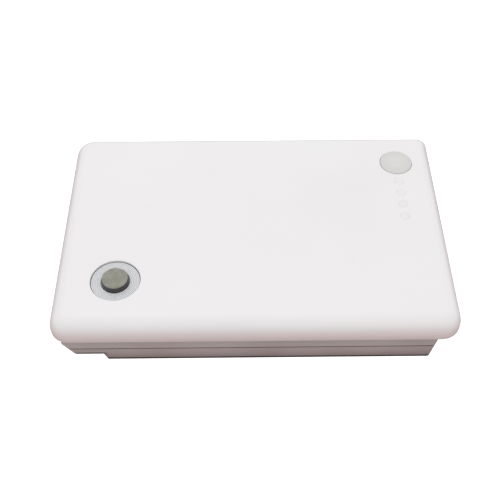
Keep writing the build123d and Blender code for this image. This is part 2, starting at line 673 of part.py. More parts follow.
def turned(plane, *points):
    """Revolve a closed (radius, length) outline about a cell's axis."""
    section = Plane(origin=plane.origin, x_dir=plane.x_dir, z_dir=plane.x_dir.cross(plane.z_dir))
    with BuildSketch(section) as half:
        with BuildLine():
            Polyline(*points, close=True)
        make_face()
    revolve(half.sketch, axis=Axis(plane.origin, plane.z_dir))


for number, plane in enumerate(cell_planes, start=1):
    with BuildPart() as cell_can:
        turned(plane, (0, SLEEVE_T), (CAN_R, SLEEVE_T), (CAN_R, BEAD_LOW),
               (CAN_R - BEAD_DEPTH, BEAD_LOW + BEAD_SLOPE),
               (CAN_R - BEAD_DEPTH, BEAD_HIGH - BEAD_SLOPE), (CAN_R, BEAD_HIGH),
               (CAN_R, CAN_TOP), (CAP_R + 0.1, CAN_TOP), (CAP_R + 0.1, CAP_SEAT), (0, CAP_SEAT))
    finish(f"cell_can_{number}", cell_can)
    with BuildPart() as cell_wrap:
        turned(plane, (SLEEVE_HOLE_R, 0), (CELL_R, 0), (CELL_R, SLEEVE_TOP),
               (SLEEVE_TOP_HOLE_R, SLEEVE_TOP), (SLEEVE_TOP_HOLE_R, SLEEVE_TOP - SLEEVE_T),
               (CELL_R - SLEEVE_T, SLEEVE_TOP - SLEEVE_T), (CELL_R - SLEEVE_T, SLEEVE_T),
               (SLEEVE_HOLE_R, SLEEVE_T))
    finish(f"cell_wrap_{number}", cell_wrap)
    with BuildPart() as cell_cap:
        turned(plane, (0, CAP_SEAT), (CAP_R, CAP_SEAT), (CAP_R, CAP_SEAT + CAP_STEP),
               (CAP_NUB_FOOT_R, CAP_SEAT + CAP_STEP), (CAP_NUB_R, CELL_L), (0, CELL_L))
    finish(f"cell_cap_{number}", cell_cap)

with BuildPart() as cell_washers:
    washer_top = CELL_L - 0.05
    for plane in cell_planes:
        turned(plane, (WASHER_HOLE_R, SLEEVE_TOP), (WASHER_R, SLEEVE_TOP), (WASHER_R, washer_top),
               (WASHER_HOLE_R, washer_top))
finish("cell_washers", cell_washers)

# ---- Nickel tabs. Three pairs in series: rows 1 and 2, the cross pair, rows 3 and 4 ----
TAB_Z = [TAB_LOW, TAB_HIGH]
TAB_NEAR_Y = 5.0                      # each tab reaches between these distances from the middle
TAB_FAR_Y = 31.0
CROSS_TAB_END = 50.0
LUG_Y = [-20.5, -16.5]                # lug from the minus tab onto the protection board
LUG_END = -51.5
TAP_X = [25.0, 29.0]                  # tap from the series tab onto the gauge board
TAP_END = 28.4


def tab_plate(x_range, y_range, z_range):
    """A flat strip of nickel."""
    extrude(plan_rect(z_range[0], x_range, y_range), amount=z_range[1] - z_range[0])


LEFT_TAB_X = [LONG_CELLS_X - TAB_T, LONG_CELLS_X]
RIGHT_TAB_X = [LONG_CELLS_END, LONG_CELLS_END + TAB_T]
with BuildPart() as tab_negative:
    tab_plate(LEFT_TAB_X, [-TAB_FAR_Y, -TAB_NEAR_Y], TAB_Z)
    tab_plate([LUG_END, LONG_CELLS_X], LUG_Y, [GUARD_BOARD_TOP, GUARD_BOARD_TOP + TAB_T])
finish("tab_negative", tab_negative)

with BuildPart() as tab_series_a:
    tab_plate(RIGHT_TAB_X, [CROSS_CELLS_Y - TAB_T, -TAB_NEAR_Y], TAB_Z)
    tab_plate([RIGHT_TAB_X[0], CROSS_TAB_END], [CROSS_CELLS_Y - TAB_T, CROSS_CELLS_Y], TAB_Z)
finish("tab_series_a", tab_series_a)

with BuildPart() as tab_series_b:
    tab_plate(RIGHT_TAB_X, [TAB_NEAR_Y, TAB_FAR_Y], TAB_Z)
    tab_plate([RIGHT_TAB_X[0], CROSS_TAB_END], [CROSS_CELLS_END, CROSS_CELLS_END + TAB_T], TAB_Z)
    tab_plate(TAP_X, [CROSS_CELLS_END, TAP_END], [GAUGE_BOARD_TOP, GAUGE_BOARD_TOP + TAB_T])
finish("tab_series_b", tab_series_b)

CUTOFF_Z = 16.4
CUTOFF_LEAD_Z = CUTOFF_Z + 0.4
CUTOFF_LEAD_Y = [16.4, 18.0]
with BuildPart() as tab_positive:
    tab_plate(LEFT_TAB_X, [TAB_NEAR_Y, TAB_FAR_Y], TAB_Z)
    tab_plate(LEFT_TAB_X, CUTOFF_LEAD_Y, [TAB_HIGH, CUTOFF_LEAD_Z])
finish("tab_positive", tab_positive)

# ---- Thermal cutoff in the valley between rows 3 and 4, in line with the plus lead ----
CUTOFF_X = [-42.0, -34.0]
CUTOFF_Y = [16.25, 20.25]
CUTOFF_H = 1.0
LONG_LEAD_Y = 20.0
LONG_LEAD_W = 1.4
BEND_X = [-48.4, -51.6]               # where the long lead slopes down to the board
BEND_GAP = 0.09                       # what the sloping run's thickness adds along X
LONG_LEAD_END = -53.6
with BuildPart() as thermal_cutoff:
    tab_plate(CUTOFF_X, CUTOFF_Y, [CUTOFF_Z, CUTOFF_Z + CUTOFF_H])
    tab_plate([LEFT_TAB_X[0], CUTOFF_X[0]], CUTOFF_LEAD_Y, [CUTOFF_LEAD_Z, CUTOFF_LEAD_Z + TAB_T])
    with BuildSketch(Plane.XZ.offset(-LONG_LEAD_Y)) as long_lead:
        with BuildLine():
            Polyline((CUTOFF_X[0], CUTOFF_LEAD_Z), (BEND_X[0], CUTOFF_LEAD_Z),
                     (BEND_X[1], GUARD_BOARD_TOP), (LONG_LEAD_END, GUARD_BOARD_TOP),
                     (LONG_LEAD_END, GUARD_BOARD_TOP + TAB_T),
                     (BEND_X[1] + BEND_GAP, GUARD_BOARD_TOP + TAB_T),
                     (BEND_X[0] + BEND_GAP, CUTOFF_LEAD_Z + TAB_T),
                     (CUTOFF_X[0], CUTOFF_LEAD_Z + TAB_T), close=True)
        make_face()
    extrude(amount=LONG_LEAD_W)
finish("thermal_cutoff", thermal_cutoff)


def wire(radius, bend, *points):
    """A round lead along straight runs joined by tangent arcs."""
    with BuildLine() as route:
        FilletPolyline(*points, radius=bend)
    start = Plane(origin=route.line @ 0, z_dir=route.line % 0)
    with BuildSketch(start) as section:
        Circle(radius)
    sweep(section.sketch, path=route.line)


# ---- Thermistor in the valley between rows 1 and 2, with its two leads ----
BEAD_X = -38.0
BEAD_Z = 16.8
BEAD_R = 1.2
LEAD_R = 0.25
LEAD_HALF_GAP = 0.5
LEAD_BEND = 1.5
LEAD_DROP_X = [-47.6, -50.0]
LEAD_DROP_Y = 6.0
LEAD_END = -53.0
with BuildPart() as thermistor:
    with Locations((BEAD_X, -CELL_PITCH, BEAD_Z)):
        Sphere(BEAD_R)
    board_z = GUARD_BOARD_TOP + LEAD_R
    for side in (-1, 1):
        lead_y = -CELL_PITCH + LEAD_HALF_GAP * side
        wire(LEAD_R, LEAD_BEND, (BEAD_X, lead_y, BEAD_Z), (LEAD_DROP_X[0], lead_y, BEAD_Z),
             (LEAD_DROP_X[1], lead_y - LEAD_DROP_Y, board_z), (LEAD_END, lead_y - LEAD_DROP_Y, board_z))
finish("thermistor", thermistor)

# ---- Sense lead from the front series tab to the protection board ----
SENSE_R = 0.4
SENSE_Z = GUARD_BOARD_TOP + SENSE_R
SENSE_BEND = 3.0
SENSE_Y = -38.4
SENSE_TURN_X = -46.2
SENSE_END = (-51.5, -35.0)
with BuildPart() as sense_lead:
    wire(SENSE_R, SENSE_BEND, (LONG_CELLS_END, SENSE_Y, SENSE_Z), (SENSE_TURN_X, SENSE_Y, SENSE_Z),
         (SENSE_END[0], SENSE_END[1], SENSE_Z))
finish("sense_lead", sense_lead)

# ---- Four leads from the gauge board to the protection board ----
GAUGE_LEADS_Y = [37.25, 38.0, 38.75, 39.5]
GAUGE_LEAD_R = 0.33
GAUGE_LEAD_BEND = 2.5
GAUGE_LEAD_START = 23.0
GAUGE_LEAD_DROP_X = [-42.0, -48.5]
GAUGE_LEAD_END = -51.5
with BuildPart() as gauge_leads:
    high = GAUGE_BOARD_TOP + GAUGE_LEAD_R
    low = GUARD_BOARD_TOP + GAUGE_LEAD_R
    for lead_y in GAUGE_LEADS_Y:
        wire(GAUGE_LEAD_R, GAUGE_LEAD_BEND, (GAUGE_LEAD_START, lead_y, high),
             (GAUGE_LEAD_DROP_X[0], lead_y, high), (GAUGE_LEAD_DROP_X[1], lead_y, low),
             (GAUGE_LEAD_END, lead_y, low))
finish("gauge_leads", gauge_leads)

# ---- Foam strips that hold the outer long cells off the side walls ----
FOAM_X = [-40.0, 12.0]
FOAM_LOW = 1.2
FOAM_H = 7.4
FOAM_CELL_GAP = 0.1
FOAM_WALL_GAP = 0.05
with BuildPart() as foam_strips:
    for side in (-1, 1):
        near = side * (2 * CELL_PITCH + FOAM_CELL_GAP)
        far = side * (INNER_Y - FOAM_WALL_GAP)
        extrude(plan_rect(FOAM_LOW, FOAM_X, sorted([near, far])), amount=FOAM_H)
finish("foam_strips", foam_strips)

os.makedirs("parts", exist_ok=True)
for name, part in ALL:
    export_step(part, f"parts/{name}.step")
print(len(ALL), "parts written")
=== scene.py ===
import json
import math

import bmesh
import bpy
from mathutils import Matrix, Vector
from mathutils.geometry import delaunay_2d_cdt


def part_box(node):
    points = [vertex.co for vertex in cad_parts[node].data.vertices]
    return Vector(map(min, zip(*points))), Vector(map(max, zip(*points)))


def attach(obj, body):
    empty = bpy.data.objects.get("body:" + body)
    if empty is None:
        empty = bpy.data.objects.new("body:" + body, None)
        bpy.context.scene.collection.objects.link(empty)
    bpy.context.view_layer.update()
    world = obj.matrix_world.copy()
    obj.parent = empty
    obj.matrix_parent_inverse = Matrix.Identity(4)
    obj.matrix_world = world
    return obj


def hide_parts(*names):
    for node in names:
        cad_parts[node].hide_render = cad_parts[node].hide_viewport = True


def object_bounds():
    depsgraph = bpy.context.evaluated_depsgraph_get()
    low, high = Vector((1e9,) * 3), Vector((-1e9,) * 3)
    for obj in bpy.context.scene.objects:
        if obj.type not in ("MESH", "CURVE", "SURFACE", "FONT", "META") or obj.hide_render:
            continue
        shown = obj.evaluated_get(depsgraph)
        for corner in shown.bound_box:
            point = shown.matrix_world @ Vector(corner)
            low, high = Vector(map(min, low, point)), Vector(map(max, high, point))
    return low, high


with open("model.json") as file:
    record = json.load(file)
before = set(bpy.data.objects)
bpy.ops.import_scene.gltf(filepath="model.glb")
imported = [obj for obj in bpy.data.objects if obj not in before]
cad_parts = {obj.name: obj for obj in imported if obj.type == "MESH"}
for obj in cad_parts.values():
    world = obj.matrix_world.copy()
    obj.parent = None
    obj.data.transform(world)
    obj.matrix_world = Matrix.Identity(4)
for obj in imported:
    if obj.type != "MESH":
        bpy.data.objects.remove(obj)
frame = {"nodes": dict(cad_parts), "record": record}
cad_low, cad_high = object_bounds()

MM = 0.001


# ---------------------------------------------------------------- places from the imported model

cover_low, cover_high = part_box("top_cover")
ring_low, ring_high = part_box("foot_ring")
foot_low, foot_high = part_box("foot_pad")
button_low, button_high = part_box("charge_button")
plunger_low, plunger_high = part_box("switch_plunger")
guide_low, guide_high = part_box("light_guide")
housing_low, housing_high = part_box("connector_housing")

foot_centre = (ring_low + ring_high) / 2
button_centre = (plunger_low + plunger_high) / 2
ring_radius = ring_high.x - foot_centre.x
foot_radius = foot_high.x - foot_centre.x

STEP_PAST_HOUSING = 2.5 * MM   # from the connector housing's end to the step of the underside
step_x = housing_high.x + STEP_PAST_HOUSING
step_z = housing_low.z         # underside of the raised left end
seam_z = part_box("upper_frame")[0].z


# ---------------------------------------------------------------- material helpers

class Recipe:
    """A node material in the making. Most calls add a node and return its output."""

    def __init__(self, name, **surface):
        self.material = bpy.data.materials.new(name)
        self.material.use_nodes = True
        self.tree = self.material.node_tree
        self.shader = self.tree.nodes["Principled BSDF"]
        for key, value in surface.items():
            socket = key.replace("_", " ").title().replace("Ior", "IOR")
            self.shader.inputs[socket].default_value = value
        self.place = self.add("ShaderNodeTexCoord", "Object")
        self.heights = None

    def feed(self, value, socket):
        """Link an output to a socket, or set the socket to a plain value."""
        if isinstance(value, bpy.types.NodeSocket):
            self.tree.links.new(value, socket)
        else:
            socket.default_value = value

    def add(self, kind, output, inputs=None, **settings):
        """Add a node with its settings, feed its inputs, and return one of its outputs."""
        node = self.tree.nodes.new(kind)
        for key, value in settings.items():
            setattr(node, key, value)
        for key, value in (inputs or {}).items():
            self.feed(value, node.inputs[key])
        return node.outputs[output]

    def stretched(self, scale):
        """Object coordinates, stretched by a different scale along each axis."""
        return self.add("ShaderNodeMapping", "Vector", {"Vector": self.place, "Scale": scale})

    def noise(self, scale, detail=3.0, roughness=0.5, distortion=0.0, vector=None):
        """Cloudy noise over the object, or over stretched coordinates."""
        return self.add("ShaderNodeTexNoise", "Fac", {
            "Vector": vector or self.place, "Scale": scale, "Detail": detail,
            "Roughness": roughness, "Distortion": distortion})

    def cells(self, scale):
        """Distance to the nearest of many scattered points."""
        return self.add("ShaderNodeTexVoronoi", "Distance", {"Vector": self.place, "Scale": scale})

    def wave(self, axis, scale, distortion):
        """Fine parallel lines across an axis, broken up by a little distortion."""
        return self.add("ShaderNodeTexWave", "Fac",
                        {"Vector": self.place, "Scale": scale, "Distortion": distortion},
                        wave_type="BANDS", bands_direction=axis)

    def span(self, value, low, high, to_low=0.0, to_high=1.0):
        """Carry a value smoothly from low..high to another range, held at both ends."""
        return self.add("ShaderNodeMapRange", "Result", {
            "Value": value, "From Min": low, "From Max": high, "To Min": to_low,
            "To Max": to_high}, interpolation_type="SMOOTHSTEP")

    def maths(self, operation, first, second=0.0):
        return self.add("ShaderNodeMath", "Value", {0: first, 1: second}, operation=operation)

    def times(self, first, second):
        return self.maths("MULTIPLY", first, second)

    def mixed(self, share, first, second):
        """A colour that goes from first to second as the share goes from 0 to 1."""
        return self.add("ShaderNodeMix", "Result", {"Factor": share, "A": first, "B": second},
                        data_type="RGBA")

    def along(self, axis, vector=None):
        """A vector's part along an axis: by default the place on the object, in metres."""
        return self.add("ShaderNodeSeparateXYZ", axis, {"Vector": vector or self.place})

    def upward(self):
        """1 where the surface faces straight up, 0 where it is upright, -1 where it faces down."""
        return self.along("Z", self.add("ShaderNodeNewGeometry", "Normal"))

    def distance_from(self, centre):
        """Distance in plan from an upright axis, in metres."""
        flat = self.add("ShaderNodeVectorMath", "Vector", {0: self.place, 1: (1, 1, 0)},
                        operation="MULTIPLY")
        return self.add("ShaderNodeVectorMath", "Value", {0: flat, 1: (centre.x, centre.y, 0)},
                        operation="DISTANCE")

    def bump(self, height, depth):
        """Add a bump of a depth in metres on top of those already there."""
        inputs = {"Strength": 1.0, "Distance": depth, "Height": height}
        if self.heights is not None:
            inputs["Normal"] = self.heights
        self.heights = self.add("ShaderNodeBump", "Normal", inputs)

    def done(self, color, roughness=None, metallic=None):
        """Connect what varies over the surface and give the finished material."""
        varied = {"Base Color": color, "Roughness": roughness, "Metallic": metallic,
                  "Normal": self.heights}
        for key, value in varied.items():
            if value is not None:
                self.feed(value, self.shader.inputs[key])
        return self.material


def rgb(red, green, blue):
    """A linear colour from the usual 0 to 255 values."""
    def linear(value):
        share = value / 255
        return share / 12.92 if share <= 0.04045 else ((share + 0.055) / 1.055) ** 2.4
    return (linear(red), linear(green), linear(blue), 1.0)


# ---------------------------------------------------------------- outer materials

RIDGES = 5
RIDGE_PITCH = 0.52 * MM
RIDGE_START = 5.05 * MM        # radius of the foot ring's first ridge
RIDGE_TURN = -2 * math.pi * RIDGE_START / RIDGE_PITCH
RING_EDGE_SHADE = 0.35 * MM         # width of the painted shade round the ring's outer edge

SIDE_SHADE_FULL = 1.7 * MM          # painted shade on the cover's side is deepest up to here above its bottom edge
SIDE_SHADE_END = 1.0 * MM         # and gone, leaving plain white, from here below its face

TRAY_SHADE_HEIGHT = 5 * MM             # height over which painted shade darkens the tray towards its underside
CONTACT_SHADOW_BAND = (0.75 * MM, 1.35 * MM)   # heights above the underside where the painted shadow along its edges fades out
STEP_SHADOW_BAND = (0.4 * MM, 1.0 * MM)     # the same above the raised left end
STEP_SHADOW_ENDS = (-1.5 * MM, 0.5 * MM)   # where that painted shadow ends, on both sides of the step
SEAM_SHADE = (0.16 * MM, 0.34 * MM)   # distances from the seam where its painted shade fades out
# colour of the painted shadow along the bottom edges
CONTACT_SHADOW_TONE = rgb(34, 28, 28)

RUBBED_IN = 1.2 * MM           # radius of the part of the button that fingers polish
RUBBED_OUT = 4.8 * MM


def glossy_white():
    """The cover's polished white polycarbonate, with painted shade, greyer and warmer, down its
    sides.
    """
    r = Recipe("cover_white", coat_weight=0.25, coat_roughness=0.12, ior=1.5, roughness=0.32)
    cloud = r.noise(18, detail=2)
    speck = r.noise(900, detail=2)
    # painted shade: the cover's side turns greyer and warmer towards its bottom edge, standing in for
    # the shade near the table
    side = r.span(r.along("Z"), cover_low.z + SIDE_SHADE_FULL, cover_high.z - SIDE_SHADE_END, 1, 0)
    tone = r.mixed(r.span(cloud, 0.3, 0.7), rgb(229, 227, 228), rgb(231, 230, 230))
    tone = r.mixed(r.span(speck, 0.62, 0.78, 0, 0.25), tone, rgb(221, 219, 218))
    tone = r.mixed(side, tone, rgb(226, 212, 210))
    r.bump(r.noise(260, detail=2), 0.006 * MM)
    r.bump(r.noise(5200, detail=1), 0.001 * MM)
    return r.done(tone)


def textured_grey(name, light, dark, painted_low_shade=False):
    """Spark-textured grey moulding with painted shade along its seam. Asked for, painted shade
    also darkens it towards the underside, with a painted shadow line along its bottom edges, at the
    raised left end too."""
    r = Recipe(name, specular_ior_level=0.3)
    grain = r.noise(3600, detail=2, roughness=0.6)
    cloud = r.noise(45, detail=3)
    height = r.along("Z")
    tone = r.mixed(r.span(cloud, 0.35, 0.68), light, dark)
    tone = r.mixed(r.span(grain, 0.45, 0.7, 0, 0.22), tone, dark)
    if painted_low_shade:
        # painted shade: the tray darkens towards its underside, standing in for the table's shade
        low_shade = r.span(height, cad_low.z, cad_low.z + TRAY_SHADE_HEIGHT, 0.6, 0)
        tone = r.mixed(low_shade, tone, rgb(110, 95, 94))
        # painted shadow: a dark line along the bottom edges and the raised left end's edge, where the
        # pack meets the table
        off_underside = r.span(r.upward(), -0.99, -0.9)
        low, high = CONTACT_SHADOW_BAND
        bottom = r.span(height, cad_low.z + low, cad_low.z + high, 0.97, 0)
        tone = r.mixed(r.times(off_underside, bottom), tone, CONTACT_SHADOW_TONE)
        low, high = STEP_SHADOW_ENDS
        left = r.span(r.along("X"), step_x + low, step_x + high, 1, 0)
        low, high = STEP_SHADOW_BAND
        raised = r.times(left, r.span(height, step_z + low, step_z + high, 0.9, 0))
        tone = r.mixed(r.times(off_underside, raised), tone, CONTACT_SHADOW_TONE)
    # painted shade: darker along the seam between frame and tray, where the groove lies in shade
    gap = r.maths("ABSOLUTE", r.maths("SUBTRACT", height, seam_z))
    tone = r.mixed(r.span(gap, *SEAM_SHADE, 0.45, 0), tone, rgb(70, 60, 60))
    r.bump(grain, 0.02 * MM)
    r.bump(r.noise(900, detail=1), 0.01 * MM)
    return r.done(tone, r.span(grain, 0.3, 0.7, 0.46, 0.62))


def satin_button():
    """The button's pale grey satin plastic, polished a little where fingers press."""
    r = Recipe("button_grey", specular_ior_level=0.4)
    grain = r.noise(4200, detail=2)
    centre = (button_low + button_high) / 2
    unrubbed = r.span(r.distance_from(centre), RUBBED_IN, RUBBED_OUT)
    tone = r.mixed(unrubbed, rgb(212, 212, 209), rgb(207, 207, 204))
    tone = r.mixed(r.span(grain, 0.5, 0.75, 0, 0.3), tone, rgb(196, 197, 194))
    rough = r.maths("ADD", r.times(unrubbed, 0.1), r.span(grain, 0.3, 0.7, 0.38, 0.48))
    r.bump(grain, 0.012 * MM)
    return r.done(tone, rough)


def window_white():
    """The light guide: the cover's white, a shade milkier, so its outline hardly shows."""
    r = Recipe("window_white", roughness=0.34, coat_weight=0.2, coat_roughness=0.15, ior=1.5)
    cloud = r.noise(300, detail=2)
    tone = r.mixed(r.span(cloud, 0.35, 0.7), rgb(227, 225, 226), rgb(229, 228, 228))
    r.bump(r.noise(1800), 0.003 * MM)
    return r.done(tone)


def foot_rubber():
    """Moulded rubber: olive grey and dusty on top, near black down the side, where the darkness is
    painted shade.
    """
    r = Recipe("foot_rubber", specular_ior_level=0.3, sheen_weight=0.15, sheen_roughness=0.5)
    grain = r.noise(2600, detail=4, roughness=0.65)
    dust = r.noise(420, detail=4)
    top = r.mixed(r.span(dust, 0.35, 0.68), rgb(134, 134, 122), rgb(150, 150, 140))
    side = r.mixed(r.span(grain, 0.35, 0.7), rgb(52, 50, 51), rgb(72, 70, 70))
    # painted shade: the side wall is near black and the top lighter only by which way the surface
    # faces
    tone = r.mixed(r.span(r.upward(), 0.35, 0.92), side, top)
    tone = r.mixed(r.span(grain, 0.56, 0.75, 0, 0.3), tone, rgb(110, 110, 102))
    r.bump(grain, 0.03 * MM)
    r.bump(dust, 0.03 * MM)
    return r.done(tone, r.span(dust, 0.3, 0.7, 0.62, 0.8))


def ring_silver():
    """Satin silver of the foot's ring, turned in fine circles, with painted shade at its outer edge.
    """
    r = Recipe("ring_silver", specular_ior_level=0.5)
    away = r.distance_from(foot_centre)
    turn = r.maths("ADD", r.times(away, 2 * math.pi / RIDGE_PITCH), RIDGE_TURN)
    line = r.span(r.maths("COSINE", turn), -0.9, 0.9, 1, 0)
    grime = r.noise(500, detail=4)
    # painted shade: a dark outline round the ring's outer edge, where it sits down in its seat
    rim = r.span(away, ring_radius - RING_EDGE_SHADE, ring_radius)
    tone = r.mixed(r.times(line, 0.8), rgb(224, 225, 226), rgb(168, 171, 175))
    tone = r.mixed(r.span(grime, 0.55, 0.75, 0, 0.35), tone, rgb(168, 170, 172))
    tone = r.mixed(r.times(rim, 0.7), tone, rgb(92, 92, 96))
    rough = r.maths("ADD", r.span(grime, 0.3, 0.7, 0.3, 0.42), r.times(line, 0.06))
    return r.done(tone, rough, 0.25)


# ---------------------------------------------------------------- inner materials

def label_film():
    """Blank satin label film with a fine pressed texture and a few rubbed patches."""
    r = Recipe("label_white", specular_ior_level=0.4, coat_weight=0.15, coat_roughness=0.3)
    weave = r.noise(2400, detail=3)
    rubbed = r.noise(60, detail=4)
    tone = r.mixed(r.span(rubbed, 0.35, 0.7), rgb(222, 222, 220), rgb(214, 214, 211))
    tone = r.mixed(r.span(weave, 0.55, 0.75, 0, 0.3), tone, rgb(200, 200, 196))
    r.bump(weave, 0.008 * MM)
    return r.done(tone, r.span(rubbed, 0.3, 0.7, 0.34, 0.5))


def moulded(name, light, dark, rough_low, rough_high, grain_scale=3000, depth=0.01 * MM):
    """A moulded or sintered part: mottled, grained, with a roughness that wanders."""
    r = Recipe(name, specular_ior_level=0.4)
    grain = r.noise(grain_scale, detail=3, roughness=0.6)
    mottle = r.noise(grain_scale / 8, detail=3)
    tone = r.mixed(r.span(mottle, 0.35, 0.68), light, dark)
    tone = r.mixed(r.span(grain, 0.58, 0.76, 0, 0.35), tone, dark)
    r.bump(grain, depth)
    return r.done(tone, r.span(grain, 0.3, 0.7, rough_low, rough_high))


def solder_mask():
    """Green solder mask over copper tracks, with tinned pads showing through in places."""
    r = Recipe("board_green", coat_weight=0.4, coat_roughness=0.15, ior=1.52)
    across = r.wave("Y", 520, 0.6)
    along = r.wave("X", 430, 0.8)
    blocks = r.span(r.noise(140, detail=0), 0.46, 0.52)
    tracks = r.span(r.mixed(blocks, across, along), 0.52, 0.62)
    weave = r.cells(3200)
    pads = r.span(r.cells(520), 0.16, 0.2, 1, 0)
    tone = r.mixed(r.times(tracks, 0.75), rgb(18, 92, 46), rgb(34, 122, 62))
    tone = r.mixed(r.span(weave, 0.0, 0.5, 0.25, 0), tone, rgb(10, 62, 30))
    tone = r.mixed(pads, tone, rgb(186, 184, 176))
    r.bump(tracks, 0.02 * MM)
    r.bump(pads, 0.02 * MM)
    return r.done(tone, r.span(weave, 0.1, 0.6, 0.3, 0.4), r.times(pads, 0.8))


def polyimide():
    """Amber film with copper tracks along the strip."""
    r = Recipe("flex_amber", coat_weight=0.3, coat_roughness=0.12, ior=1.6)
    tracks = r.span(r.wave("X", 620, 0.05), 0.5, 0.66)
    cloud = r.noise(500, detail=3)
    film = r.mixed(r.span(cloud, 0.35, 0.68), rgb(186, 112, 30), rgb(158, 90, 20))
    tone = r.mixed(r.times(tracks, 0.7), film, rgb(206, 146, 74))
    r.bump(tracks, 0.012 * MM)
    return r.done(tone, r.span(cloud, 0.3, 0.7, 0.24, 0.36))


def lamp_resin():
    """Cloudy resin of a small surface light, tinted yellow by the die under it."""
    r = Recipe("led_clear", ior=1.53, coat_weight=0.4, coat_roughness=0.08)
    cloud = r.noise(1600, detail=2)
    tone = r.mixed(r.span(cloud, 0.35, 0.68), rgb(222, 226, 196), rgb(206, 208, 150))
    r.bump(cloud, 0.008 * MM)
    return r.done(tone, r.span(cloud, 0.3, 0.7, 0.14, 0.26))


def drawn_metal(name, light, dark, rough):
    """Plated metal with drawing lines along X, faint stains and dulled patches."""
    r = Recipe(name, specular_ior_level=0.5)
    streaks = r.noise(1, detail=3, roughness=0.6, vector=r.stretched((40, 2600, 2600)))
    stain = r.noise(220, detail=4)
    tone = r.mixed(r.span(streaks, 0.3, 0.7), light, dark)
    tone = r.mixed(r.span(stain, 0.56, 0.75, 0, 0.25), tone, rgb(150, 132, 104))
    r.bump(streaks, 0.004 * MM)
    return r.done(tone, r.span(stain, 0.3, 0.7, rough, rough + 0.16), 1.0)


def shrink_sleeve():
    """Blue shrink sleeve: glossy, drawn tight along the can, with faint shrink ripples."""
    r = Recipe("cell_sleeve", coat_weight=0.4, coat_roughness=0.12, ior=1.53)
    ripple = r.noise(1, detail=3, vector=r.stretched((90, 700, 700)))
    cloud = r.noise(120, detail=3)
    tone = r.mixed(r.span(cloud, 0.35, 0.68), rgb(36, 92, 134), rgb(28, 76, 114))
    tone = r.mixed(r.span(ripple, 0.56, 0.74, 0, 0.4), tone, rgb(54, 112, 152))
    r.bump(ripple, 0.03 * MM)
    return r.done(tone, r.span(ripple, 0.3, 0.7, 0.22, 0.34))


def fibre_paper():
    """Grey-buff insulating paper: short fibres, a soft felted surface."""
    r = Recipe("fish_paper", specular_ior_level=0.2, sheen_weight=0.2, sheen_roughness=0.6)
    fibre = r.noise(1, detail=4, distortion=1.5, vector=r.stretched((900, 4200, 2400)))
    blotch = r.noise(260, detail=3)
    tone = r.mixed(r.span(blotch, 0.35, 0.68), rgb(206, 200, 182), rgb(188, 181, 162))
    tone = r.mixed(r.span(fibre, 0.56, 0.74, 0, 0.5), tone, rgb(156, 147, 126))
    r.bump(fibre, 0.02 * MM)
    return r.done(tone, r.span(fibre, 0.3, 0.7, 0.72, 0.88))


def lead_cover(name, light, dark):
    """Extruded silicone lead: fine lines along it and a waxy, dusty surface."""
    r = Recipe(name, specular_ior_level=0.35, coat_weight=0.1, coat_roughness=0.35)
    lines = r.noise(1, detail=3, vector=r.stretched((120, 5200, 5200)))
    dust = r.noise(900, detail=4)
    tone = r.mixed(r.span(lines, 0.35, 0.68), light, dark)
    tone = r.mixed(r.span(dust, 0.6, 0.78, 0, 0.25), tone, rgb(150, 140, 134))
    r.bump(lines, 0.01 * MM)
    return r.done(tone, r.span(dust, 0.3, 0.7, 0.4, 0.56))


def closed_foam():
    """Black closed-cell foam: a skin of small open pores."""
    r = Recipe("foam_black", specular_ior_level=0.2, sheen_weight=0.25, sheen_roughness=0.6)
    pores = r.cells(2600)
    big = r.cells(1100)
    tone = r.mixed(r.span(pores, 0.1, 0.6), rgb(24, 24, 25), rgb(62, 61, 62))
    tone = r.mixed(r.span(big, 0.1, 0.5, 0.4, 0), tone, rgb(14, 14, 15))
    r.bump(pores, 0.06 * MM)
    r.bump(big, 0.06 * MM)
    return r.done(tone, r.span(pores, 0.1, 0.6, 0.8, 0.95))


# ---------------------------------------------------------------- mesh helpers

def circle(centre, radius, z, steps):
    """Points round an upright axis."""
    return [Vector((centre.x + radius * math.cos(2 * math.pi * i / steps),
                    centre.y + radius * math.sin(2 * math.pi * i / steps), z))
            for i in range(steps)]


def skin(bm, rings):
    """Quads between each ring of points and the next. Returns the rings' vertices."""
    loops = [[bm.verts.new(point) for point in points] for points in rings]
    for lower, upper in zip(loops, loops[1:]):
        for i in range(len(lower)):
            j = (i + 1) % len(lower)
            bm.faces.new((lower[i], lower[j], upper[j], upper[i]))
    return loops


def fill_flat(bm, outer, *holes):
    """Triangles over the flat space between a convex outer loop and the round holes in it."""
    loops = [outer, *holes]
    corners = [vert for loop in loops for vert in loop]
    number = {vert: i for i, vert in enumerate(corners)}
    loop_of = [k for k, loop in enumerate(loops) for vert in loop]
    edges = [(number[a], number[b]) for loop in loops for a, b in zip(loop, loop[1:] + loop[:1])]
    inside_only, merge_distance = 1, 1e-9
    cut = delaunay_2d_cdt([vert.co.to_2d() for vert in corners], edges, [],
                          inside_only, merge_distance)
    triangles, sources = cut[2], cut[3]
    for triangle in triangles:
        ids = [sources[i][0] for i in triangle]
        on_loops = {loop_of[i] for i in ids}
        if len(on_loops) > 1 or on_loops == {0}:
            bm.faces.new([corners[i] for i in ids])


def arc(start, end, level_first, steps=6):
    """Quarter of an ellipse between two (radius, z) points, setting off level or upright."""
    points = []
    for i in range(steps + 1):
        turn = math.pi / 2 * i / steps
        across, up = math.sin(turn), 1 - math.cos(turn)
        if not level_first:
            across, up = up, across
        points.append((start[0] + (end[0] - start[0]) * across,
                       start[1] + (end[1] - start[1]) * up))
    return points


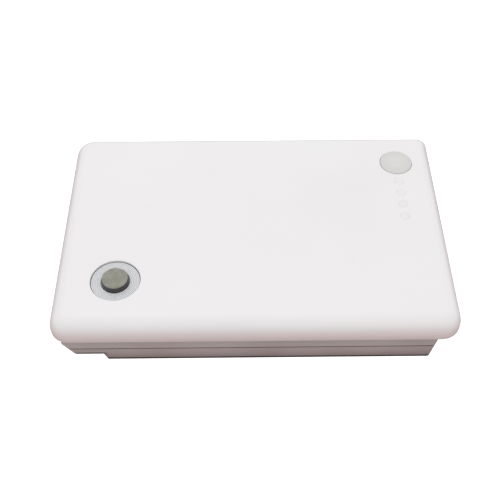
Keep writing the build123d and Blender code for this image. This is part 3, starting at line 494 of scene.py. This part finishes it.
def make_piece(name, bm, material, body, stands_for, crease=40):
    """Turn a bmesh into a smooth-shaded piece that rides on a body in place of a node."""
    bmesh.ops.remove_doubles(bm, verts=bm.verts, dist=1e-8)
    bmesh.ops.recalc_face_normals(bm, faces=bm.faces)
    for face in bm.faces:
        face.smooth = True
    for edge in bm.edges:
        edge.smooth = edge.calc_face_angle(0) < math.radians(crease)
    mesh = bpy.data.meshes.new(name)
    bm.to_mesh(mesh)
    bm.free()
    mesh.materials.append(material)
    piece = add_object(name, mesh)
    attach(piece, body)
    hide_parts(stands_for)


def add_object(name, data):
    """A new object in the scene."""
    made = bpy.data.objects.new(name, data)
    bpy.context.scene.collection.objects.link(made)
    return made


def point_at(thing, place, target):
    """Stand a light or a camera at a place, looking at a target."""
    thing.location = place
    thing.rotation_euler = (target - place).to_track_quat("-Z", "Y").to_euler()


# ---------------------------------------------------------------- cover

COVER_CORNERS = [6.2 * MM, 6.6 * MM, 3.0 * MM, 6.3 * MM]   # front left, then anticlockwise
CORNER_STEPS = 14
CORNER_TIGHTEN = 0.55          # share of each plan corner lost at the top face
ROUND_IN = 5.2 * MM            # how far the top's rounding reaches in
ROUND_FOOT = 1.9 * MM          # where the rounding starts above the bottom edge
ROUND_STEPS = 18
FACE_MARGIN = 1.0 * MM         # from the end of the rounding to the flat face's outline
LIP_R = 0.7 * MM
RIM_WALL = 1.6 * MM
RIM_H = 1.2 * MM
CAVITY_IN = 2.2 * MM
CAVITY_R = 1.9 * MM
CEILING = cover_high.z - 1.55 * MM

SEAT_GAP = 0.1 * MM            # round the foot ring, in its seat
BUTTON_HOLE_R = 5.75 * MM
WINDOW_HOLE_R = 1.63 * MM
WINDOW_END = 1.8 * MM          # from the guide's end to its last window's middle
WINDOWS = 4
HOLE_BEVEL = 0.12 * MM
WINDOW_BEVEL = 0.045 * MM
BEVEL_STEPS = 4
HOLE_MARGIN = 5                # from a hole's side to the flat face's outline, in bevels
HOLE_STEPS = 96

window_x = (guide_low.x + guide_high.x) / 2
window_first = guide_low.y + WINDOW_END
window_pitch = (guide_high.y - guide_low.y - 2 * WINDOW_END) / (WINDOWS - 1)
window_centres = [Vector((window_x, window_first + i * window_pitch, 0)) for i in range(WINDOWS)]


def cover_outline(inset, z):
    """The cover's plan outline, drawn in by an inset, at height z."""
    middle = (cover_low + cover_high) / 2
    half_x = (cover_high.x - cover_low.x) / 2 - inset
    half_y = (cover_high.y - cover_low.y) / 2 - inset
    shrink = 1 - CORNER_TIGHTEN * min(max(inset, 0) / ROUND_IN, 1)
    points = []
    for corner, (side_x, side_y) in enumerate(((-1, -1), (1, -1), (1, 1), (-1, 1))):
        radius = COVER_CORNERS[corner] * shrink
        for i in range(CORNER_STEPS + 1):
            turn = math.pi + math.pi / 2 * (corner + i / CORNER_STEPS)
            points.append(Vector((
                middle.x + side_x * (half_x - radius) + radius * math.cos(turn),
                middle.y + side_y * (half_y - radius) + radius * math.sin(turn), z)))
    return points


def hole_rings(centre, radius, low, bevel=HOLE_BEVEL):
    """Rings of a hole with a softened edge in the cover's top face, down to a level."""
    top = cover_high.z
    profile = [(radius + HOLE_MARGIN * bevel, top)]
    profile += arc((radius + bevel, top), (radius, top - bevel), True, BEVEL_STEPS)
    profile += [(radius, low)]
    return [circle(centre, r, z, HOLE_STEPS) for r, z in profile]


def build_cover(material):
    """The cover as one closed shell: elliptical rounding, rim, cavity, seat and holes."""
    bm = bmesh.new()
    bottom, top = cover_low.z, cover_high.z
    outside = [(RIM_WALL, bottom)]
    outside += arc((LIP_R, bottom), (0, bottom + LIP_R), True)[:-1]
    outside += arc((0, bottom + ROUND_FOOT), (ROUND_IN, top), False, ROUND_STEPS)
    outside += [(ROUND_IN + FACE_MARGIN, top)]
    outer = skin(bm, [cover_outline(inset, z) for inset, z in outside])
    inside = [(RIM_WALL, bottom), (RIM_WALL, bottom + RIM_H), (CAVITY_IN, bottom + RIM_H)]
    inside += arc((CAVITY_IN, CEILING - CAVITY_R), (CAVITY_IN + CAVITY_R, CEILING), False)
    inner = skin(bm, [cover_outline(inset, z) for inset, z in inside])
    seat = skin(bm, hole_rings(foot_centre, ring_radius + SEAT_GAP, ring_low.z))
    bm.faces.new(seat[-1])
    through = [skin(bm, hole_rings(button_centre, BUTTON_HOLE_R, CEILING))]
    through += [skin(bm, hole_rings(centre, WINDOW_HOLE_R, CEILING, WINDOW_BEVEL))
                for centre in window_centres]
    fill_flat(bm, outer[-1], seat[0], *[hole[0] for hole in through])
    fill_flat(bm, inner[-1], *[hole[-1] for hole in through])
    make_piece("cover_shell", bm, material, "pack", "top_cover")


# ---------------------------------------------------------------- foot and its ring

FOOT_GAP = 0.15 * MM           # between the foot and the ring round it
RING_SOFT = 0.06 * MM          # bevel of the ring's edges
RIDGE_DEPTH = 0.06 * MM
RIDGE_SHAPE = ((0.1, 0), (0.35, RIDGE_DEPTH), (0.65, RIDGE_DEPTH), (0.9, 0))   # share, depth
RING_STEPS = 128

FOOT_SKIRT_H = 0.5 * MM        # the upright start of the foot's side
FOOT_LEAN = 0.22 * MM
FOOT_SHOULDER = 0.62 * MM
SHOULDER_STEPS = 8
DISH_EDGE = (0.5 * MM, 0.01 * MM)   # first point of the hollow: inwards, and down
DISH_SHAPE = ((0.5, 0.06 * MM), (0.2, 0.08 * MM))   # share of the radius, depth
FOOT_STEPS = 96


def build_foot_ring(material):
    """The ring round the foot: a thin dish with fine turned ridges."""
    bm = bmesh.new()
    hole = foot_radius + FOOT_GAP
    low, top = ring_low.z, ring_high.z
    profile = [(hole, low), (hole, top - RING_SOFT), (hole + RING_SOFT, top)]
    for ridge in range(RIDGES):
        start = RIDGE_START + ridge * RIDGE_PITCH
        profile += [(start + RIDGE_PITCH * share, top - depth) for share, depth in RIDGE_SHAPE]
    profile += [(ring_radius - RING_SOFT, top), (ring_radius, top - RING_SOFT),
                (ring_radius, low), (hole, low)]
    skin(bm, [circle(foot_centre, r, z, RING_STEPS) for r, z in profile])
    make_piece("foot_ring_turned", bm, material, "pack", "foot_ring", crease=60)


def build_foot(material):
    """The rubber foot: leaning side wall, a soft shoulder and a slightly hollow top."""
    bm = bmesh.new()
    low, top = foot_low.z, foot_high.z
    side = foot_radius - FOOT_LEAN
    edge = side - FOOT_SHOULDER
    inwards, down = DISH_EDGE
    profile = [(foot_radius, low), (foot_radius, low + FOOT_SKIRT_H)]
    profile += arc((side, top - FOOT_SHOULDER), (edge, top), False, SHOULDER_STEPS)
    profile += [(edge - inwards, top - down)]
    profile += [(foot_radius * share, top - depth) for share, depth in DISH_SHAPE]
    loops = skin(bm, [circle(foot_centre, r, z, FOOT_STEPS) for r, z in profile])
    bm.faces.new(loops[0])
    bm.faces.new(loops[-1])
    make_piece("rubber_foot", bm, material, "pack", "foot_pad", crease=50)


# ---------------------------------------------------------------- stage

FLOOR_HALF = 15.0
FLOOR_GLOW = (1.0, 1.0, 1.0, 1)
SKY_STRENGTH = 1.025
SKY_COLOR = (1.0, 0.993, 0.997, 1)
GROUND_COLOR = (0.34, 0.29, 0.28, 1)
HORIZON_BLEND = 0.1

SOFTBOX_PLACE = Vector((-0.2, 0.3, 0.6))
SOFTBOX_TARGET = Vector((0, 0, 0))
SOFTBOX_SIZE = (0.5, 0.4)
SOFTBOX_POWER = 0.25

CAMERA_PLACE = Vector((-0.00350, -0.19026, 0.23674))
CAMERA_TARGET = Vector((-0.001336, 0.004291, 0.0))
CAMERA_LENS = 60.66
CAMERA_SENSOR = 36.0
CAMERA_NEAR = 0.01
CAMERA_FAR = 60.0


def build_floor():
    """A pale table that glows white for the camera. It lights nothing itself: the light
    that it would throw back up is the world's lower half."""
    half, level = FLOOR_HALF, cad_low.z
    mesh = bpy.data.meshes.new("studio_floor")
    corners = [(-half, -half, level), (half, -half, level), (half, half, level), (-half, half, level)]
    mesh.from_pydata(corners, [], [(0, 1, 2, 3)])
    r = Recipe("floor_white", roughness=0.9, specular_ior_level=0.0,
               emission_color=FLOOR_GLOW, emission_strength=1.0)
    mesh.materials.append(r.done(rgb(188, 188, 188)))
    floor = add_object("studio_floor", mesh)
    floor.visible_diffuse = False
    floor.visible_glossy = False


def build_sky():
    """An even white dome above the pack, with a dimmer and warmer light from below."""
    world = bpy.data.worlds.new("studio")
    bpy.context.scene.world = world
    world.use_nodes = True
    tree = world.node_tree
    background = tree.nodes["Background"]
    background.inputs["Strength"].default_value = SKY_STRENGTH
    place = tree.nodes.new("ShaderNodeTexCoord")
    parts = tree.nodes.new("ShaderNodeSeparateXYZ")
    tree.links.new(place.outputs["Generated"], parts.inputs["Vector"])
    share = tree.nodes.new("ShaderNodeMapRange")
    share.interpolation_type = "SMOOTHSTEP"
    tree.links.new(parts.outputs["Z"], share.inputs["Value"])
    share.inputs["From Min"].default_value = -HORIZON_BLEND
    share.inputs["From Max"].default_value = 0
    dome = tree.nodes.new("ShaderNodeMix")
    dome.data_type = "RGBA"
    tree.links.new(share.outputs["Result"], dome.inputs["Factor"])
    dome.inputs["A"].default_value = GROUND_COLOR
    dome.inputs["B"].default_value = SKY_COLOR
    tree.links.new(dome.outputs["Result"], background.inputs["Color"])


def build_softbox():
    """A weak rectangular light behind the pack, to the left."""
    data = bpy.data.lights.new("softbox", "AREA")
    data.shape = "RECTANGLE"
    data.size, data.size_y = SOFTBOX_SIZE
    data.energy = SOFTBOX_POWER
    point_at(add_object("softbox", data), SOFTBOX_PLACE, SOFTBOX_TARGET)


def build_camera():
    data = bpy.data.cameras.new("camera")
    data.lens = CAMERA_LENS
    data.sensor_width = CAMERA_SENSOR
    data.clip_start = CAMERA_NEAR
    data.clip_end = CAMERA_FAR
    camera = add_object("camera", data)
    point_at(camera, CAMERA_PLACE, CAMERA_TARGET)
    bpy.context.scene.camera = camera


bpy.context.scene.view_settings.view_transform = "Standard"
build_camera()
build_floor()
build_sky()
build_softbox()


# ---------------------------------------------------------------- finishes and pieces

finishes = {
    "cover_white": glossy_white(),
    "frame_grey": textured_grey("frame_grey", rgb(185, 175, 174), rgb(177, 166, 165)),
    "tray_grey": textured_grey("tray_grey", rgb(177, 164, 162), rgb(168, 154, 152), painted_low_shade=True),
    "button_grey": satin_button(),
    "window_white": window_white(),
    "foot_rubber": foot_rubber(),
    "ring_silver": ring_silver(),
    "label_white": label_film(),
    "adhesive": moulded("adhesive", rgb(46, 46, 47), rgb(30, 30, 31), 0.55, 0.75, 1500, 0.02 * MM),
    "board_green": solder_mask(),
    "part_black": moulded("part_black", rgb(44, 44, 46), rgb(26, 26, 28), 0.42, 0.62),
    "flex_amber": polyimide(),
    "led_clear": lamp_resin(),
    "ceramic_dark": moulded("ceramic_dark", rgb(58, 58, 62), rgb(32, 32, 36), 0.3, 0.5, 4200),
    "ceramic_white": moulded("ceramic_white", rgb(222, 218, 208), rgb(198, 193, 180), 0.4, 0.6),
    "ceramic_tan": moulded("ceramic_tan", rgb(176, 144, 106), rgb(148, 116, 80), 0.35, 0.55, 4200),
    "connector_black": moulded("connector_black", rgb(40, 40, 42), rgb(24, 24, 26), 0.4, 0.6, 2200),
    "contact_gold": drawn_metal("contact_gold", rgb(226, 184, 92), rgb(196, 150, 66), 0.2),
    "fish_paper": fibre_paper(),
    "nickel": drawn_metal("nickel", rgb(190, 186, 176), rgb(160, 156, 146), 0.26),
    "cell_steel": drawn_metal("cell_steel", rgb(186, 186, 186), rgb(152, 152, 154), 0.22),
    "cell_sleeve": shrink_sleeve(),
    "wire_red": lead_cover("wire_red", rgb(168, 24, 20), rgb(132, 14, 12)),
    "wire_black": lead_cover("wire_black", rgb(38, 38, 40), rgb(22, 22, 24)),
    "foam_black": closed_foam(),
}
build_cover(finishes["cover_white"])
build_foot_ring(finishes["ring_silver"])
build_foot(finishes["foot_rubber"])

slot_of = {row["node"]: row["material_slot"] for row in frame["record"]["subparts"]}
for name, piece in frame["nodes"].items():
    piece.data.materials.clear()
    piece.data.materials.append(finishes[slot_of[name]])
